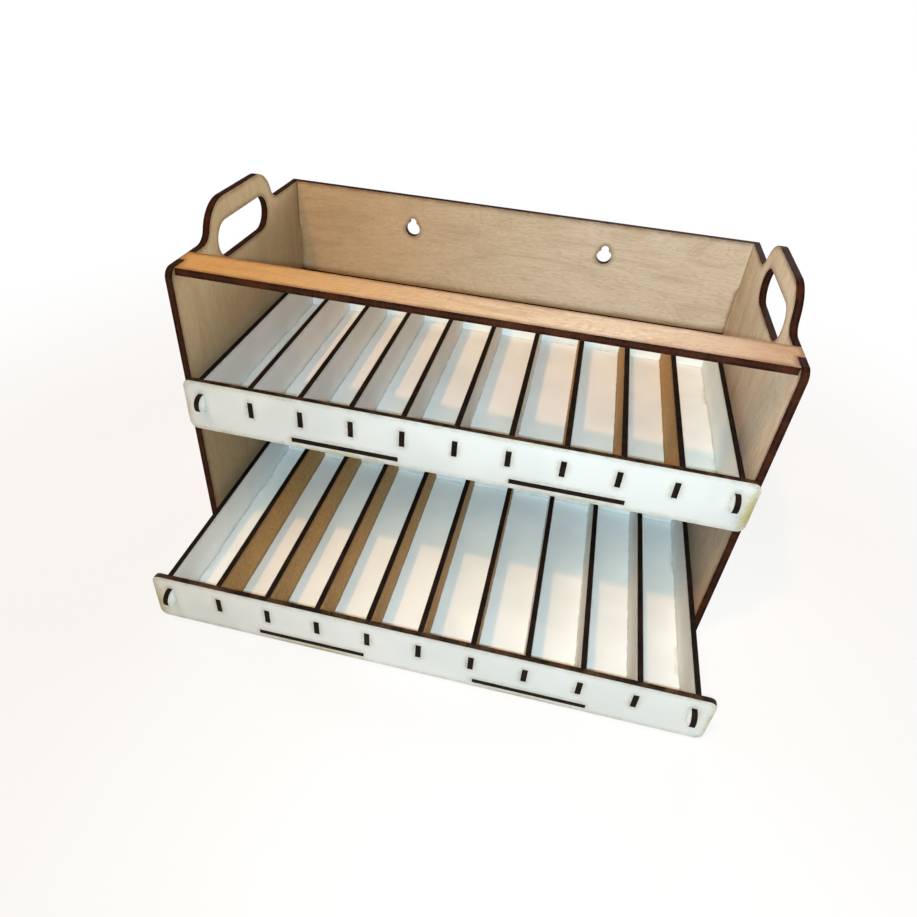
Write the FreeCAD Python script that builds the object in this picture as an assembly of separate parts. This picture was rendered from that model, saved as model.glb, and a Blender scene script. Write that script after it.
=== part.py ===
import FreeCAD, Part
import math
import os

# Hobby workstation organizer: a laser-cut plywood case with pull-out trays of white-faced
# hardboard. Every piece is one flat board, held to its neighbours by tabs in slots.
# Millimetres. The front faces -Y, +Z is up, and the case stands on z = 0.

# Board thicknesses
caseBoard = 4.0
trayBoard = 3.0

# Trays, named from the lowest up
trayNames = ["lower", "upper"]
channelCount = 10
channelWidth = 26.0
channelLength = 156.5
wallHeight = 26.3
frontLip = 3.2
frontCorner = 4.5
floorMargin = 4.0

# Tray joints: tabs of the dividers, of the floor and of the outer walls' feet
dividerTab = 10.2
floorTab = 62.0
floorTabGap = 62.0
footTab = 18.0
footInset = 30.0

# Finger pulls: the outer walls' front tabs, which stand out of the front as rounded ears
earReach = 6.3
earCorner = 4.8

# Case
bayHeight = 88.0
shelfSetback = 1.0
shelfTab = 36.0
shelfTabInset = 24.0
shelfRearTab = 50.0
shelfRearInset = 45.0
backFingers = 3

# Top rail
railDepth = 21.0
railSetback = 3.3
railTab = 10.3

# Carrying handles, one on top of each side panel
handleRise = 19.5
handleSetback = 80.0
gripLength = 40.0
gripBar = 13.0
shoulderRoot = 9.0
shoulderCrown = 20.0
handHoleLength = 63.0
handHoleHeight = 21.0
sideFrontCorner = 5.5

# Keyholes for hanging the case on two screws
keyholeSpacing = 130.5
keyholeOffset = -3.2
keyholeDrop = 22.0
keyholeHead = 9.6
keyholeNeck = 4.8
keyholeRise = 5.0

# Clearances
slotPlay = 0.05
slidePlay = 0.05
frontPlay = 0.05
sidePlay = 0.5
rearPlay = 0.5

# How far the lowest tray stands out of the case at rest
lowestTrayOut = 63.0

# Points of an outline that are nearer than this are one point
samePoint = 0.0005

# Places that follow from the sizes
trayCount = len(trayNames)
pitch = channelWidth + trayBoard
wallSpan = channelCount * pitch
floorWidth = wallSpan + trayBoard + 2 * floorMargin
caseInner = floorWidth + 2 * sidePlay
caseWidth = caseInner + 2 * caseBoard
levelRise = bayHeight + caseBoard
caseHeight = trayCount * levelRise + caseBoard
frontHeight = frontLip + trayBoard + wallHeight
rearWallFront = trayBoard + channelLength
trayDepth = rearWallFront + trayBoard
sideFront = trayBoard + frontPlay
backFront = trayDepth + rearPlay
caseRear = backFront + caseBoard
railFront = sideFront + railSetback
railRear = railFront + railDepth
originY = (caseRear - lowestTrayOut - earReach) / 2

os.makedirs("parts", exist_ok=True)


class Bounds:
    """Corners of an upright block, which a tab and the slot that takes it share."""

    def __init__(self, x, y, z):
        self.x = x
        self.y = y
        self.z = z

    def grown(self, x=0, y=0, z=0):
        wideX = (self.x[0] - x, self.x[1] + x)
        wideY = (self.y[0] - y, self.y[1] + y)
        wideZ = (self.z[0] - z, self.z[1] + z)
        return Bounds(wideX, wideY, wideZ)

    def otherSide(self):
        return Bounds((-self.x[1], -self.x[0]), self.y, self.z)

    def solid(self):
        sizes = [side[1] - side[0] for side in (self.x, self.y, self.z)]
        corner = FreeCAD.Vector(self.x[0], self.y[0], self.z[0])
        return Part.makeBox(sizes[0], sizes[1], sizes[2], corner)


def centred(width):
    return (-width / 2, width / 2)


def withTabs(board, tabs):
    return board.fuse([tab.solid() for tab in tabs])


def withSlots(board, tabs, x=0, y=0, z=0):
    return board.cut([tab.grown(x, y, z).solid() for tab in tabs])


def save(name, shape):
    placed = shape.removeSplitter()
    placed.translate(FreeCAD.Vector(0, -originY, 0))
    placed.exportStep("parts/" + name + ".step")


# Outlines of upright boards, drawn in the plane x = 0. A span is (first point, last point, edge).

def corner(y, z):
    point = FreeCAD.Vector(0, y, z)
    return (point, point, None)


def arc(y, z, radius, start, end):
    points = []
    for turn in (start, (start + end) / 2, end):
        angle = math.radians(turn)
        points.append(FreeCAD.Vector(0, y + radius * math.cos(angle), z + radius * math.sin(angle)))
    return (points[0], points[2], Part.Arc(points[0], points[1], points[2]).toShape())


def uprightBoard(spans, xLow, thickness):
    """Joins the spans, in order, by straight lines and gives the outline a thickness."""
    edges = []
    for index, (first, last, edge) in enumerate(spans):
        following = spans[(index + 1) % len(spans)][0]
        if edge:
            edges.append(edge)
        if not last.isEqual(following, samePoint):
            edges.append(Part.LineSegment(last, following).toShape())
    board = Part.Face(Part.Wire(edges)).extrude(FreeCAD.Vector(thickness, 0, 0))
    board.translate(FreeCAD.Vector(xLow, 0, 0))
    return board


# Tabs of the case boards, on the +X side

def shelfSideTabs(level):
    x = (caseInner / 2, caseWidth / 2)
    z = (level, level + caseBoard)
    frontEnd = sideFront + shelfTabInset
    rearEnd = backFront - shelfTabInset
    return [Bounds(x, (frontEnd, frontEnd + shelfTab), z), Bounds(x, (rearEnd - shelfTab, rearEnd), z)]


def shelfRearTabs(level):
    x = (shelfRearInset, shelfRearInset + shelfRearTab)
    tab = Bounds(x, (backFront, caseRear), (level, level + caseBoard))
    return [tab, tab.otherSide()]


def backFingerTabs():
    """The back panel's fingers and the side panel's take turns, with the back panel's on top."""
    step = caseHeight / (2 * backFingers)
    tabs = []
    for index in range(backFingers):
        low = (2 * index + 1) * step
        tabs.append(Bounds((caseInner / 2, caseWidth / 2), (backFront, caseRear), (low, low + step)))
    return tabs


def railSideTab():
    x = (caseInner / 2, caseWidth / 2)
    return Bounds(x, (railRear - railTab, railRear), (caseHeight - caseBoard, caseHeight))


def bothSides(tabs):
    return tabs + [tab.otherSide() for tab in tabs]


# Case

def sideOutline():
    """Straight front, flat top, and a handle that rises from it on two S-shaped shoulders."""
    turn = math.degrees(math.acos(1 - handleRise / (shoulderRoot + shoulderCrown)))
    run = (shoulderRoot + shoulderCrown) * math.sin(math.radians(turn))
    gripFront = sideFront + handleSetback - gripLength / 2
    gripRear = gripFront + gripLength
    rootZ = caseHeight + shoulderRoot
    crownZ = caseHeight + handleRise - shoulderCrown
    return [
        corner(sideFront, 0),
        corner(caseRear, 0),
        corner(caseRear, caseHeight),
        arc(gripRear + run, rootZ, shoulderRoot, -90, -90 - turn),
        arc(gripRear, crownZ, shoulderCrown, 90 - turn, 90),
        arc(gripFront, crownZ, shoulderCrown, 90, 90 + turn),
        arc(gripFront - run, rootZ, shoulderRoot, -90 + turn, -90),
        arc(sideFront + sideFrontCorner, caseHeight - sideFrontCorner, sideFrontCorner, 90, 180),
    ]


def handHole(xLow):
    radius = handHoleHeight / 2
    centreY = sideFront + handleSetback
    centreZ = caseHeight + handleRise - gripBar - radius
    reach = handHoleLength / 2 - radius
    ends = [arc(centreY + reach, centreZ, radius, -90, 90), arc(centreY - reach, centreZ, radius, 90, 270)]
    return uprightBoard(ends, xLow, caseBoard)


def rightSidePanel():
    xLow = caseInner / 2
    panel = uprightBoard(sideOutline(), xLow, caseBoard).cut(handHole(xLow))
    for level in shelfLevels():
        panel = withSlots(panel, shelfSideTabs(level), y=slotPlay, z=slotPlay)
    panel = withSlots(panel, backFingerTabs(), y=slotPlay, z=slotPlay)
    return withSlots(panel, [railSideTab()], y=slotPlay)


def shelfLevels():
    return [index * levelRise for index in range(trayCount)]


def shelfBoard(level):
    y = (sideFront + shelfSetback, backFront)
    board = Bounds(centred(caseInner), y, (level, level + caseBoard)).solid()
    return withTabs(board, bothSides(shelfSideTabs(level)) + shelfRearTabs(level))


def keyhole(x):
    """Round hole for the screw's head, with a narrow neck above it for the shank."""
    headZ = caseHeight - keyholeDrop
    alongY = FreeCAD.Vector(0, 1, 0)
    head = Part.makeCylinder(keyholeHead / 2, caseBoard, FreeCAD.Vector(x, backFront, headZ), alongY)
    seat = FreeCAD.Vector(x, backFront, headZ + keyholeRise)
    shank = Part.makeCylinder(keyholeNeck / 2, caseBoard, seat, alongY)
    sides = (x - keyholeNeck / 2, x + keyholeNeck / 2)
    neck = Bounds(sides, (backFront, caseRear), (headZ, headZ + keyholeRise))
    return head.fuse([shank, neck.solid()])


def backPanel():
    panel = Bounds(centred(caseInner), (backFront, caseRear), (0, caseHeight)).solid()
    panel = withTabs(panel, bothSides(backFingerTabs()))
    for level in shelfLevels():
        panel = withSlots(panel, shelfRearTabs(level), x=slotPlay, z=slotPlay)
    for side in (-1, 1):
        panel = panel.cut(keyhole(keyholeOffset + side * keyholeSpacing / 2))
    return panel


def topRail():
    rail = Bounds(centred(caseInner), (railFront, railRear), (caseHeight - caseBoard, caseHeight)).solid()
    return withTabs(rail, bothSides([railSideTab()]))


# Trays, drawn closed, with floorLow the underside of the tray's floor

def frontFloorTabs(floorLow):
    x = (floorTabGap / 2, floorTabGap / 2 + floorTab)
    tab = Bounds(x, (0, trayBoard), (floorLow, floorLow + trayBoard))
    return [tab, tab.otherSide()]


def rearFloorTabs(floorLow):
    x = (floorTabGap / 2, floorTabGap / 2 + floorTab)
    tab = Bounds(x, (rearWallFront, trayDepth), (floorLow, floorLow + trayBoard))
    return [tab, tab.otherSide()]


def wallX(index):
    middle = index * pitch - wallSpan / 2
    return (middle - trayBoard / 2, middle + trayBoard / 2)


def wallTabs(index, floorLow, y):
    middle = floorLow + trayBoard + wallHeight / 2
    return [Bounds(wallX(index), y, (middle - dividerTab / 2, middle + dividerTab / 2))]


def footTabs(index, floorLow):
    z = (floorLow, floorLow + trayBoard)
    frontEnd = trayBoard + footInset
    rearEnd = rearWallFront - footInset
    front = Bounds(wallX(index), (frontEnd, frontEnd + footTab), z)
    rear = Bounds(wallX(index), (rearEnd - footTab, rearEnd), z)
    return [front, rear]


def runsThrough(edge):
    """True for an edge that crosses the thickness of a tray's front panel."""
    along = edge.tangentAt(0)
    return abs(along.y) > abs(along.x) + abs(along.z)


def trayFront(floorLow):
    low = floorLow - frontLip
    panel = Bounds(centred(caseWidth), (0, trayBoard), (low, low + frontHeight)).solid()
    panel = panel.makeFillet(frontCorner, [edge for edge in panel.Edges if runsThrough(edge)])
    panel = withSlots(panel, frontFloorTabs(floorLow), x=slotPlay, z=slotPlay)
    for index in range(channelCount + 1):
        panel = withSlots(panel, wallTabs(index, floorLow, (0, trayBoard)), x=slotPlay, z=slotPlay)
    return panel


def trayFloor(floorLow):
    y = (trayBoard, rearWallFront)
    floor = Bounds(centred(floorWidth), y, (floorLow, floorLow + trayBoard)).solid()
    floor = withTabs(floor, frontFloorTabs(floorLow) + rearFloorTabs(floorLow))
    for index in (0, channelCount):
        floor = withSlots(floor, footTabs(index, floorLow), x=slotPlay, y=slotPlay)
    return floor


def trayRearWall(floorLow):
    y = (rearWallFront, trayDepth)
    high = floorLow + trayBoard + wallHeight
    wall = Bounds(centred(floorWidth), y, (floorLow, high)).solid()
    wall = withSlots(wall, rearFloorTabs(floorLow), x=slotPlay, z=slotPlay)
    for index in range(channelCount + 1):
        wall = withSlots(wall, wallTabs(index, floorLow, y), x=slotPlay, z=slotPlay)
    return wall


def trayDivider(index, floorLow):
    low = floorLow + trayBoard
    divider = Bounds(wallX(index), (trayBoard, rearWallFront), (low, low + wallHeight)).solid()
    tabs = wallTabs(index, floorLow, (0, trayBoard)) + wallTabs(index, floorLow, (rearWallFront, trayDepth))
    return withTabs(divider, tabs)


def ear(index, floorLow):
    """The front tab carried on past the front panel, with both outer corners rounded."""
    middle = floorLow + trayBoard + wallHeight / 2
    half = dividerTab / 2
    radius = min(earCorner, half)
    tip = -earReach + radius
    outline = [
        corner(0, middle - half),
        corner(0, middle + half),
        arc(tip, middle + half - radius, radius, 90, 180),
        arc(tip, middle - half + radius, radius, 180, 270),
    ]
    return uprightBoard(outline, wallX(index)[0], trayBoard)


def trayOuterWall(index, floorLow):
    wall = withTabs(trayDivider(index, floorLow), footTabs(index, floorLow))
    return wall.fuse(ear(index, floorLow))


def trayPieces(floorLow):
    pieces = {
        "front_panel": trayFront(floorLow),
        "floor": trayFloor(floorLow),
        "rear_wall": trayRearWall(floorLow),
        "left_wall": trayOuterWall(0, floorLow),
        "right_wall": trayOuterWall(channelCount, floorLow),
    }
    for index in range(1, channelCount):
        pieces["divider_" + str(index)] = trayDivider(index, floorLow)
    return pieces


sidePanel = rightSidePanel()
save("right_side_panel", sidePanel)
save("left_side_panel", sidePanel.mirror(FreeCAD.Vector(0, 0, 0), FreeCAD.Vector(1, 0, 0)))
save("back_panel", backPanel())
save("top_rail", topRail())

for levelIndex, level in enumerate(shelfLevels()):
    shelfName = "shelf_" + str(levelIndex) if levelIndex else "base_board"
    save(shelfName, shelfBoard(level))

for trayIndex, trayName in enumerate(trayNames):
    trayFloorLow = shelfLevels()[trayIndex] + caseBoard + slidePlay
    out = 0 if trayIndex else lowestTrayOut
    for pieceName, piece in trayPieces(trayFloorLow).items():
        piece.translate(FreeCAD.Vector(0, -out, 0))
        save(trayName + "_" + pieceName, piece)
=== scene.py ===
import math

import bpy
import bmesh
from mathutils import Matrix, Vector


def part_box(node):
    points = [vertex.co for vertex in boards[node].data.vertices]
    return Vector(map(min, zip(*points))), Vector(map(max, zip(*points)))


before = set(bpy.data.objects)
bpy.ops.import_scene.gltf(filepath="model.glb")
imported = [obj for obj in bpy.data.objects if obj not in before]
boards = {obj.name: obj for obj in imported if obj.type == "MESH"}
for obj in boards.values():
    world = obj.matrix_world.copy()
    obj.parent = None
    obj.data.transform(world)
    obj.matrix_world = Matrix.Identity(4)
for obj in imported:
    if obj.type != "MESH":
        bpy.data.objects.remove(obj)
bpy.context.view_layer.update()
print("boards loaded:", len(boards))


# colours are written as a paint program shows them, from 0 to 255
def paint(red, green, blue):
    def linear(value):
        value = value / 255
        return value / 12.92 if value <= 0.04045 else ((value + 0.055) / 1.055) ** 2.4

    return linear(red), linear(green), linear(blue), 1.0


class Signal:  # one socket of a shading, so that a mask is written as a sum
    def __init__(self, shading, socket):
        self.shading = shading
        self.socket = socket

    def calc(self, operation, first, second=0.0):
        return self.shading.add("ShaderNodeMath", {"operation": operation}, {0: first, 1: second})

    def output(self, name):  # another output of the same node
        return Signal(self.shading, self.socket.node.outputs[name])

    def __add__(self, other):
        return self.calc("ADD", self, other)

    def __sub__(self, other):
        return self.calc("SUBTRACT", self, other)

    def __rsub__(self, other):
        return self.calc("SUBTRACT", other, self)

    def __mul__(self, other):
        return self.calc("MULTIPLY", self, other)

    def __mod__(self, other):
        return self.calc("FLOORED_MODULO", self, other)

    def __gt__(self, other):
        return self.calc("GREATER_THAN", self, other)

    def __abs__(self):
        return self.calc("ABSOLUTE", self)

    __radd__ = __add__
    __rmul__ = __mul__


class Shading:  # the nodes of a material, or of the world
    def __init__(self, owner):
        owner.use_nodes = True
        self.owner = owner
        self.tree = owner.node_tree
        self.tree.nodes.clear()

    # a node of any type: its settings first, then the values or links of its sockets
    def add(self, kind, settings={}, sockets={}, output=0):
        node = self.tree.nodes.new(kind)
        for name, value in settings.items():
            setattr(node, name, value)
        for name, value in sockets.items():
            if isinstance(value, Signal):
                self.tree.links.new(value.socket, node.inputs[name])
            else:
                node.inputs[name].default_value = value
        return Signal(self, node.outputs[output] if node.outputs else None)

    # the place on the object, or the way that the surface faces, along one axis
    def place(self, letter=None):
        spot = self.add("ShaderNodeTexCoord").output("Object")
        return self.axis(spot, letter) if letter else spot

    def facing(self, letter):
        return self.axis(self.add("ShaderNodeTexCoord").output("Normal"), letter)

    def axis(self, vector, letter):
        return self.add("ShaderNodeSeparateXYZ", {}, {"Vector": vector}).output(letter)

    # the place counted in spots of these sizes along x, y and z, mm
    def counted(self, size):
        return self.add("ShaderNodeMapping", {}, {
            "Vector": self.place(), "Scale": [1000 / length for length in size]})

    def noise(self, size, detail=2.0, rough=0.5, swirl=0.0):
        return self.add("ShaderNodeTexNoise", {}, {
            "Vector": self.counted(size), "Detail": detail, "Roughness": rough,
            "Distortion": swirl, "Scale": 1.0})

    def fade(self, value, low, high):
        return self.add("ShaderNodeMapRange", {"interpolation_type": "SMOOTHSTEP"}, {
            "Value": value, "From Min": low, "From Max": high})

    def mix(self, amount, below, above):
        return self.add("ShaderNodeMix", {"data_type": "RGBA"}, {0: amount, 6: below, 7: above}, 2)

    # how near the board's own edge is: 0.3 on it, 0 from half this many millimetres away
    def nearEdge(self, reach):
        rounded = self.add("ShaderNodeBevel", {"samples": 4}, {"Radius": reach / 1000})
        flat = self.add("ShaderNodeNewGeometry").output("Normal")
        agree = self.add("ShaderNodeVectorMath", {"operation": "DOT_PRODUCT"}, {
            0: rounded, 1: flat}, "Value")
        return 1 - agree

    def finish(self, colour, roughness, height, depth, sheen):
        bump = self.add("ShaderNodeBump", {}, {"Height": height, "Distance": depth / 1000})
        shader = self.add("ShaderNodeBsdfPrincipled", {}, {
            "Base Color": colour, "Roughness": roughness, "Normal": bump,
            "Specular IOR Level": sheen})
        self.add("ShaderNodeOutputMaterial", {}, {"Surface": shader})
        return self.owner


# spot sizes for a pattern that is long along one axis and short across it
def stretched(letter, along, across):
    return [along if axis == letter else across for axis in "XYZ"]


burnt = {
    "char": paint(30, 12, 6),         # the laser's cut edge
    "ember": paint(70, 36, 19),       # where the char is thinner
    "striae": 0.45,                   # pitch of the beam's marks, mm
    "smokeReach": 6.0,                # how far smoke stains a face, mm
}

plywood = {
    "warm": paint(212, 178, 138),     # towards the left end
    "pale": paint(222, 205, 182),     # towards the right end
    "streak": paint(164, 128, 88),
    "knot": paint(124, 88, 54),
    "smoke": paint(128, 80, 42),
    "warmTo": (-0.1, 0.12),           # the colour goes from warm to pale between these, m
    "warmRagged": 0.09,               # how far the waves carry that change along, m
    "figure": 38.0,                   # size of the broad waves across the grain, mm
    "waves": 0.3,                     # how strongly each kind of mark shows, from 0 to 1
    "rings": 0.16,
    "ringCount": 14,
    "lines": 0.26,
    "pores": 0.4,
    "knots": 0.55,
    "lineSize": (24.0, 0.9),          # grain lines, along and across, mm
    "poreSize": (5.0, 0.35),
    "knotSpacing": (60.0, 34.0),
    "knotShare": 0.4,                 # how many of the possible knots there are
    "knotSize": (0.03, 0.075),        # dark to here and gone by here, in shares of the spacing
    "smokeShares": (0.75, 0.8, 0.3),  # stain, scorched line and crumbs of char
    "middlePly": (1.1, 1.5, 2.5, 2.9),  # its depths in the board's thickness, mm
    "plyGlow": 0.4,                   # how much lighter it is
    "rightEnd": 0.0,                  # how much darker the right end is
    "darkerFrom": (0.06, 0.165),      # the places of the darker end, m
    "relief": 0.12,                   # height of the grain, mm
    "sheen": 0.1,
}

# the side panels' plywood: the darker, greyer colour at the left end is painted shade, for the
# shade on the left panel's inner face
sidesShadedLeft = {
    **plywood,
    # painted shade: darker than the wood's own tone, standing for the left panel's shaded inner
    # face
    "warm": paint(188, 166, 130),
}

# the rail's plywood: its orange tones are partly the wood's own and partly painted warm light, for
# the lamplight on its top
rail = {
    **plywood,
    "warm": paint(222, 176, 113),
    "pale": paint(232, 216, 190),
    "streak": paint(178, 120, 74),
    "knot": paint(168, 112, 70),
    "smoke": paint(150, 92, 48),
    "figure": 30.0,
    "rings": 0.26,
    "rightEnd": 0.45,
}

hardboard = {
    # the white inside the trays, the same laminate as the fronts' but written lighter: painted
    # light on the shaded boards inside
    "white": paint(244, 247, 245),
    "cloud": paint(235, 239, 237),
    "smoke": paint(190, 158, 104),
    # painted shade with grime: dark lines in the corners where the dividers stand on the floors
    "shadeAndGrime": paint(120, 100, 78),
    "shadeAndGrimeReach": (0.1, 0.5),         # painted shade with grime in the corners fades out between these, mm
    "shadeAndGrimeShare": 0.55,
    "brown": paint(202, 162, 106),
    "fibre": paint(172, 132, 82),
    "edges": (paint(14, 9, 7), paint(42, 26, 17)),
    "whiteSmoke": (0.28, 0.25, 0.7),  # stain, scorched line and crumbs of char
    "brownSmoke": (0.4, 0.7, 0.4),
    "relief": 0.1,
    "sheen": 0.14,
}

# the fronts: the same laminate and cut edges as the other hardboard in separate copies: the white
# written darker as painted shade against the strong light on the fronts, and the edges' ember
# lighter as painted light where the fronts' top edges catch the lamps
fronts = {
    **hardboard,
    "white": paint(221, 223, 221),
    "cloud": paint(212, 215, 213),
    "smoke": paint(172, 158, 96),
    "edges": (paint(20, 13, 9), paint(84, 62, 44)),
    "whiteSmoke": (0.5, 0.25, 0.7),
}

# stains of the laser's smoke on the fronts: centre x and z, half width and half height in mm,
# and how dark each is
smokeStains = [
    (154, 106, 8, 20, 0.9), (-155, 12, 9, 22, 0.8), (-155, 108, 4, 14, 0.4),
    (156, 16, 4, 12, 0.3), (-60, 93.5, 40, 2.4, 0.6), (62, 93.5, 42, 2.2, 0.4),
    (-60, 1.6, 38, 2.8, 0.9), (62, 1.4, 40, 2.2, 0.5),
]


# the colour of a cut edge, with the beam's marks through its thickness
def cutEdge(shading, across, charColour, emberColour):
    striae = shading.noise(stretched(across, 8.0, burnt["striae"]), 2.0, 0.6)
    patches = shading.noise((9.0, 9.0, 9.0), 3.0, 0.6)
    glow = shading.fade(striae * 0.5 + patches * 0.7, 0.48, 0.82)
    return shading.mix(glow, charColour, emberColour), striae


# smoke near a cut edge: a thin scorched line, and a patchy stain with crumbs of char beyond it
def smoked(shading, colour, smokeColour, closeness, amount, scorch, crumbs):
    patches = shading.noise((8.0, 8.0, 8.0), 3.0, 0.65)
    stain = shading.fade(closeness, 0.0, 0.13) * shading.fade(patches, 0.3, 0.62) * amount
    colour = shading.mix(stain, colour, smokeColour)
    specks = shading.fade(shading.noise((1.0, 1.0, 1.0), 1.0, 0.5), 0.6, 0.68)
    specks = specks * shading.fade(patches, 0.5, 0.58) * shading.fade(closeness, 0.02, 0.1)
    colour = shading.mix(specks * crumbs, colour, burnt["char"])
    return shading.mix(shading.fade(closeness, 0.17, 0.27) * scorch, colour, burnt["ember"])


# across names the axis through the board's thickness, and grain the one along its grain; depths
# in the thickness are counted from thicknessFrom, and again at each repeat, in millimetres
def plywoodFinish(name, across, grain, wood, thicknessFrom=0.0, repeat=1000.0):
    shading = Shading(bpy.data.materials.new(name))
    onFace = abs(shading.facing(across)) > 0.5
    closeness = shading.nearEdge(burnt["smokeReach"])

    wave = shading.noise(stretched(grain, wood["figure"] * 2, wood["figure"] * 0.6), 3.0, 0.6, 2.2)
    toRight = shading.fade(shading.place("X") + wave * wood["warmRagged"], *wood["warmTo"])
    colour = shading.mix(toRight, wood["warm"], wood["pale"])
    darkerEnd = shading.fade(shading.place("X"), *wood["darkerFrom"]) * wood["rightEnd"]
    colour = shading.mix(darkerEnd, colour, wood["streak"])
    colour = shading.mix(shading.fade(wave, 0.42, 0.72) * wood["waves"], colour, wood["streak"])
    rings = abs((wave * wood["ringCount"]) % 1 - 0.5)
    colour = shading.mix(shading.fade(rings, 0.1, 0.5) * wood["rings"], colour, wood["streak"])
    lines = shading.noise(stretched(grain, *wood["lineSize"]), 3.0, 0.66, 0.2)
    colour = shading.mix(shading.fade(lines, 0.42, 0.78) * wood["lines"], colour, wood["streak"])
    pores = shading.noise(stretched(grain, *wood["poreSize"]), 1.0, 0.5)
    colour = shading.mix(shading.fade(pores, 0.56, 0.7) * wood["pores"], colour, wood["streak"])
    cell = shading.add("ShaderNodeTexVoronoi", {}, {
        "Vector": shading.counted(stretched(grain, *wood["knotSpacing"])), "Scale": 1.0})
    chosen = shading.axis(cell.output("Color"), "X") > 1 - wood["knotShare"]
    knot = (1 - shading.fade(cell + lines * 0.04, *wood["knotSize"])) * chosen
    colour = shading.mix(knot * wood["knots"], colour, wood["knot"])
    colour = smoked(shading, colour, wood["smoke"], closeness, *wood["smokeShares"])

    edge, striae = cutEdge(shading, across, burnt["char"], burnt["ember"])
    depth = (abs(shading.place(across)) * 1000 - thicknessFrom) % repeat
    plyStart, plyFull, plyFades, plyEnd = wood["middlePly"]
    middlePly = shading.fade(depth, plyStart, plyFull) * (1 - shading.fade(depth, plyFades, plyEnd))
    edge = shading.mix(middlePly * wood["plyGlow"], edge, burnt["ember"])
    colour = shading.mix(onFace, edge, colour)
    roughness = onFace * (0.12 * lines - 0.28) + 0.86
    height = onFace * (lines * 0.5 - pores * 0.5 - striae) + striae
    return shading.finish(colour, roughness, height, wood["relief"], wood["sheen"])


# whiteSide is 1 or -1, for the white face towards the axis across or against it
def hardboardFinish(name, across, whiteSide, board, marks=None):
    shading = Shading(bpy.data.materials.new(name))
    turned = shading.facing(across) * whiteSide
    onWhite = turned > 0.5
    onBrown = turned * -1 > 0.5
    closeness = shading.nearEdge(burnt["smokeReach"])

    clouds = shading.noise((45.0, 45.0, 45.0), 2.0, 0.5)
    white = shading.mix(shading.fade(clouds, 0.38, 0.66), board["white"], board["cloud"])
    if marks:
        white = marks(shading, white)
    white = smoked(shading, white, board["smoke"], closeness, *board["whiteSmoke"])
    fibres = shading.noise((2.4, 2.4, 2.4), 4.0, 0.75, 1.2)
    brown = shading.mix(shading.fade(fibres, 0.35, 0.68), board["brown"], board["fibre"])
    brown = smoked(shading, brown, burnt["ember"], closeness, *board["brownSmoke"])

    edge, striae = cutEdge(shading, across, *board["edges"])
    colour = shading.mix(onWhite, shading.mix(onBrown, edge, brown), white)
    grit = shading.noise((0.8, 0.8, 0.8), 2.0, 0.6)
    roughness = onWhite * (grit * 0.12 - 0.4) + onBrown * -0.14 + 0.84
    height = onWhite * (grit * 0.25 - striae) + onBrown * (fibres - striae) + striae
    return shading.finish(colour, roughness, height, board["relief"], board["sheen"])


# painted shade, with some grime, in the corners where the dividers stand on a tray's floor
def channelShadeAndGrime(shading, colour):
    first, second = (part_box("upper_divider_%d" % count) for count in (1, 2))
    pitch = (second[0].x - first[0].x) * 1000
    halfThickness = (first[1].x - first[0].x) * 500
    # the middle divider stands at zero, so half a pitch is added to count from the dividers
    fromDivider = abs((shading.place("X") * 1000 + pitch / 2) % pitch - pitch / 2)
    darkTo, cleanFrom = (halfThickness + reach for reach in hardboard["shadeAndGrimeReach"])
    corner = 1 - shading.fade(fromDivider, darkTo, cleanFrom)
    patches = shading.fade(shading.noise((7.0, 7.0, 7.0), 3.0, 0.6), 0.3, 0.6)
    return shading.mix(corner * patches * hardboard["shadeAndGrimeShare"], colour, hardboard["shadeAndGrime"])


# the larger smoke stains, with a ragged rim
def frontStains(shading, colour):
    patches = shading.noise((7.0, 7.0, 7.0), 4.0, 0.7)
    speckle = shading.noise((1.3, 1.3, 1.3), 2.0, 0.6)
    anyDepth = 1000.0
    for x, z, halfWidth, halfHeight, amount in smokeStains:
        spot = shading.add("ShaderNodeMapping", {"vector_type": "TEXTURE"}, {
            "Vector": shading.place(), "Location": (x / 1000, 0, z / 1000),
            "Scale": (halfWidth / 1000, anyDepth, halfHeight / 1000)})
        reach = shading.add("ShaderNodeVectorMath", {"operation": "LENGTH"}, {0: spot}, "Value")
        stain = 1 - shading.fade(reach + patches * 0.9 + speckle * 0.5, 0.75, 1.7)
        colour = shading.mix(stain * amount, colour, fronts["smoke"])
    return colour


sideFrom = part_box("right_side_panel")[0].x * 1000
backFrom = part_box("back_panel")[0].y * 1000
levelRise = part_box("shelf_1")[0].z * 1000
sideFinish = plywoodFinish("side plywood", "X", "Z", sidesShadedLeft, sideFrom)
backFinish = plywoodFinish("back plywood", "Y", "X", plywood, backFrom)
shelfFinish = plywoodFinish("shelf plywood", "Z", "X", plywood, 0.0, levelRise)
railFinish = plywoodFinish("rail plywood", "Z", "X", rail, 0.0, levelRise)
frontFinish = hardboardFinish("front hardboard", "Y", -1, fronts, frontStains)
rearFinish = hardboardFinish("rear hardboard", "Y", -1, hardboard)
floorFinish = hardboardFinish("floor hardboard", "Z", 1, hardboard, channelShadeAndGrime)
rightWhiteFinish = hardboardFinish("hardboard white to the right", "X", 1, hardboard)
leftWhiteFinish = hardboardFinish("hardboard white to the left", "X", -1, hardboard)

# which finish a board has, by a part of its name
finishes = {
    "side_panel": sideFinish, "back_panel": backFinish, "top_rail": railFinish,
    "base_board": shelfFinish, "shelf": shelfFinish,
    "front_panel": frontFinish, "rear_wall": rearFinish, "floor": floorFinish,
    "left_wall": rightWhiteFinish, "right_wall": leftWhiteFinish,
    "upper_divider": rightWhiteFinish, "lower_divider": leftWhiteFinish,
}

for name, board in boards.items():
    kind = next(part for part in finishes if part in name)
    board.data.materials.clear()
    board.data.materials.append(finishes[kind])
print("finishes made:", len(set(finishes.values())))


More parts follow.
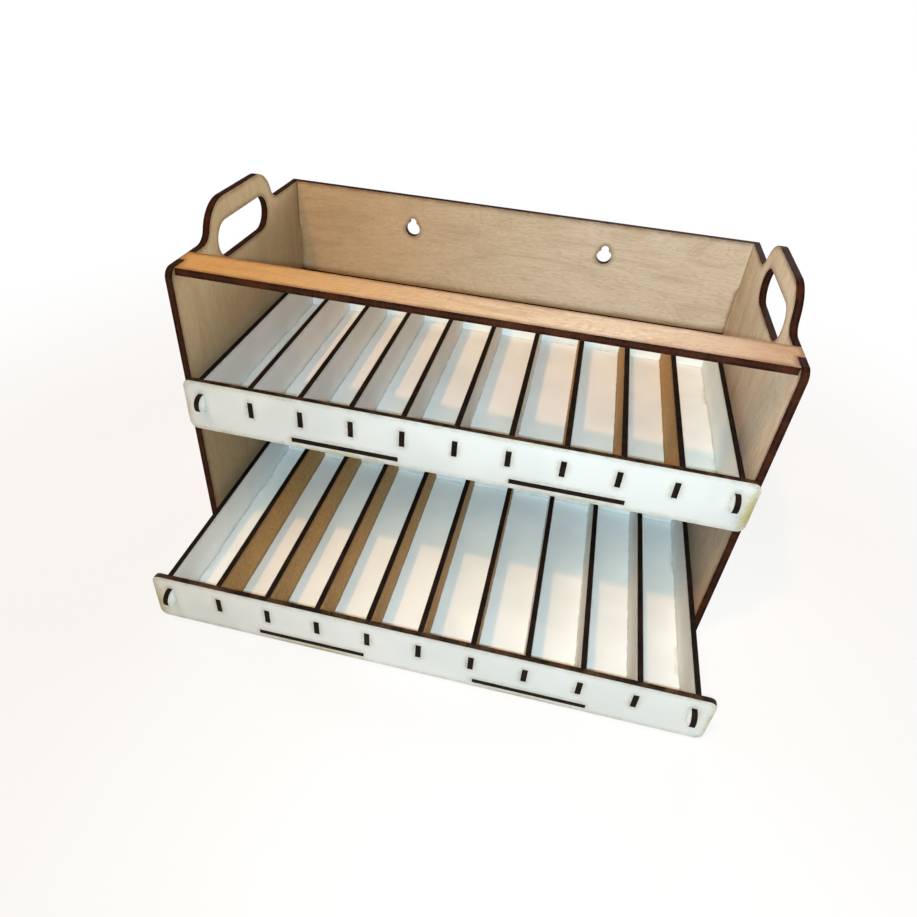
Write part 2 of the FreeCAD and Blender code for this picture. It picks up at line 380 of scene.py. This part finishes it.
room = {
    "floorSize": 6.0,
    "floorColour": paint(232, 232, 230),
    "floorSpots": paint(218, 218, 218),
    "floorSpotShare": 0.06,
    "floorWhiteness": 0.72,           # how far the shown floor is lifted to white near the object
    "whiteFrom": (0.25, 0.6),         # distances between which it becomes all white, m
    "air": (1.0, 0.855, 0.695, 1.0),  # light from all around
    "airLevel": 0.21,
}

floorMesh = bpy.data.meshes.new("studioFloor")
shaper = bmesh.new()
bmesh.ops.create_grid(shaper, x_segments=1, y_segments=1, size=room["floorSize"])
shaper.to_mesh(floorMesh)
shaper.free()
studioFloor = bpy.data.objects.new("studioFloor", floorMesh)
bpy.context.scene.collection.objects.link(studioFloor)

paper = Shading(bpy.data.materials.new("floor paper"))
spots = paper.noise((40.0, 40.0, 40.0), 3.0, 0.6) * room["floorSpotShare"]
tone = paper.mix(spots, room["floorColour"], room["floorSpots"])
matt = paper.add("ShaderNodeBsdfPrincipled", {}, {
    "Base Color": tone, "Roughness": 1.0, "Specular IOR Level": 0.0})
glow = paper.add("ShaderNodeEmission")
rays = paper.add("ShaderNodeLightPath")
away = paper.add("ShaderNodeVectorMath", {"operation": "LENGTH"}, {0: paper.place()}, "Value")
lift = paper.fade(away, *room["whiteFrom"]) * (1 - room["floorWhiteness"]) + room["floorWhiteness"]
seen = (rays.output("Is Camera Ray") + rays.output("Is Glossy Ray")) * lift
shown = paper.add("ShaderNodeMixShader", {}, {0: seen, 1: matt, 2: glow})
paper.add("ShaderNodeOutputMaterial", {}, {"Surface": shown})
floorMesh.materials.append(paper.owner)

air = Shading(bpy.data.worlds.new("studioAir"))
bpy.context.scene.world = air.owner
softAir = air.add("ShaderNodeBackground", {}, {"Color": room["air"], "Strength": room["airLevel"]})
whiteWall = air.add("ShaderNodeBackground", {}, {"Color": (1, 1, 1, 1)})
airRays = air.add("ShaderNodeLightPath").output("Is Camera Ray")
shownAir = air.add("ShaderNodeMixShader", {}, {0: airRays, 1: softAir, 2: whiteWall})
air.add("ShaderNodeOutputWorld", {}, {"Surface": shownAir})

# each lamp: its place, what it points at, its size, its power in watts and its colour
lamps = {
    "frontLamp": ((0.046, -0.338, 0.329), (0.20, 0.15, 0.0), 0.012, 1.51, (0.66, 0.87, 1.0)),
    "softLamp": ((-0.25, -0.65, 1.00), (0.0, 0.0, 0.1), 0.50, 2.1, (1.0, 0.79, 0.33)),
    "overheadLamp": ((-0.54, -0.68, 2.10), (0.0, 0.0, 0.1), 0.14, 14.6, (1.0, 0.49, 0.23)),
    "rearLamp": ((0.35, 1.50, 0.42), (0.0, 0.0, 0.1), 0.60, 13.0, (1.0, 1.0, 1.0)),
    "leftLamp": ((-1.50, 0.30, 0.24), (0.0, 0.0, 0.1), 0.40, 11.0, (1.0, 1.0, 1.0)),
    "rightLamp": ((1.50, 0.30, 0.24), (0.0, 0.0, 0.1), 0.40, 11.0, (1.0, 1.0, 1.0)),
}
for lampName, (place, aim, size, watts, colour) in lamps.items():
    lampData = bpy.data.lights.new(lampName, "AREA")
    lampData.shape = "DISK"
    lampData.size = size
    lampData.energy = watts
    lampData.color = colour
    lamp = bpy.data.objects.new(lampName, lampData)
    lamp.location = place
    lamp.rotation_euler = (Vector(aim) - Vector(place)).to_track_quat("-Z", "Y").to_euler()
    lamp.visible_camera = False
    bpy.context.scene.collection.objects.link(lamp)
print("lamps placed:", len(lamps))


camera = {
    "place": (0.04634, -0.33080, 0.33374),
    "yaw": -0.1691,                   # to the right of +Y; this and the next two in radians
    "pitch": -0.64825,
    "roll": 0.08123,
    "lens": 26.663,                   # focal length and width of the sensor, mm
    "sensor": 36.0,
    "shift": (0.0076, -0.01897),
}

yaw, pitch, roll = camera["yaw"], camera["pitch"], camera["roll"]
ahead = Vector((
    math.sin(yaw) * math.cos(pitch), math.cos(yaw) * math.cos(pitch), math.sin(pitch)))
level = Vector((math.cos(yaw), -math.sin(yaw), 0))
upright = level.cross(ahead)
rightward = level * math.cos(roll) + upright * math.sin(roll)
upward = upright * math.cos(roll) - level * math.sin(roll)
cameraData = bpy.data.cameras.new("viewCamera")
cameraData.lens = camera["lens"]
cameraData.sensor_width = camera["sensor"]
cameraData.shift_x, cameraData.shift_y = camera["shift"]
cameraData.clip_start = 0.01
viewCamera = bpy.data.objects.new("viewCamera", cameraData)
turn = Matrix((rightward, upward, -ahead)).transposed().to_4x4()
viewCamera.matrix_world = Matrix.Translation(camera["place"]) @ turn
bpy.context.scene.collection.objects.link(viewCamera)
bpy.context.scene.camera = viewCamera
bpy.context.scene.view_settings.view_transform = "Standard"
print("camera placed")
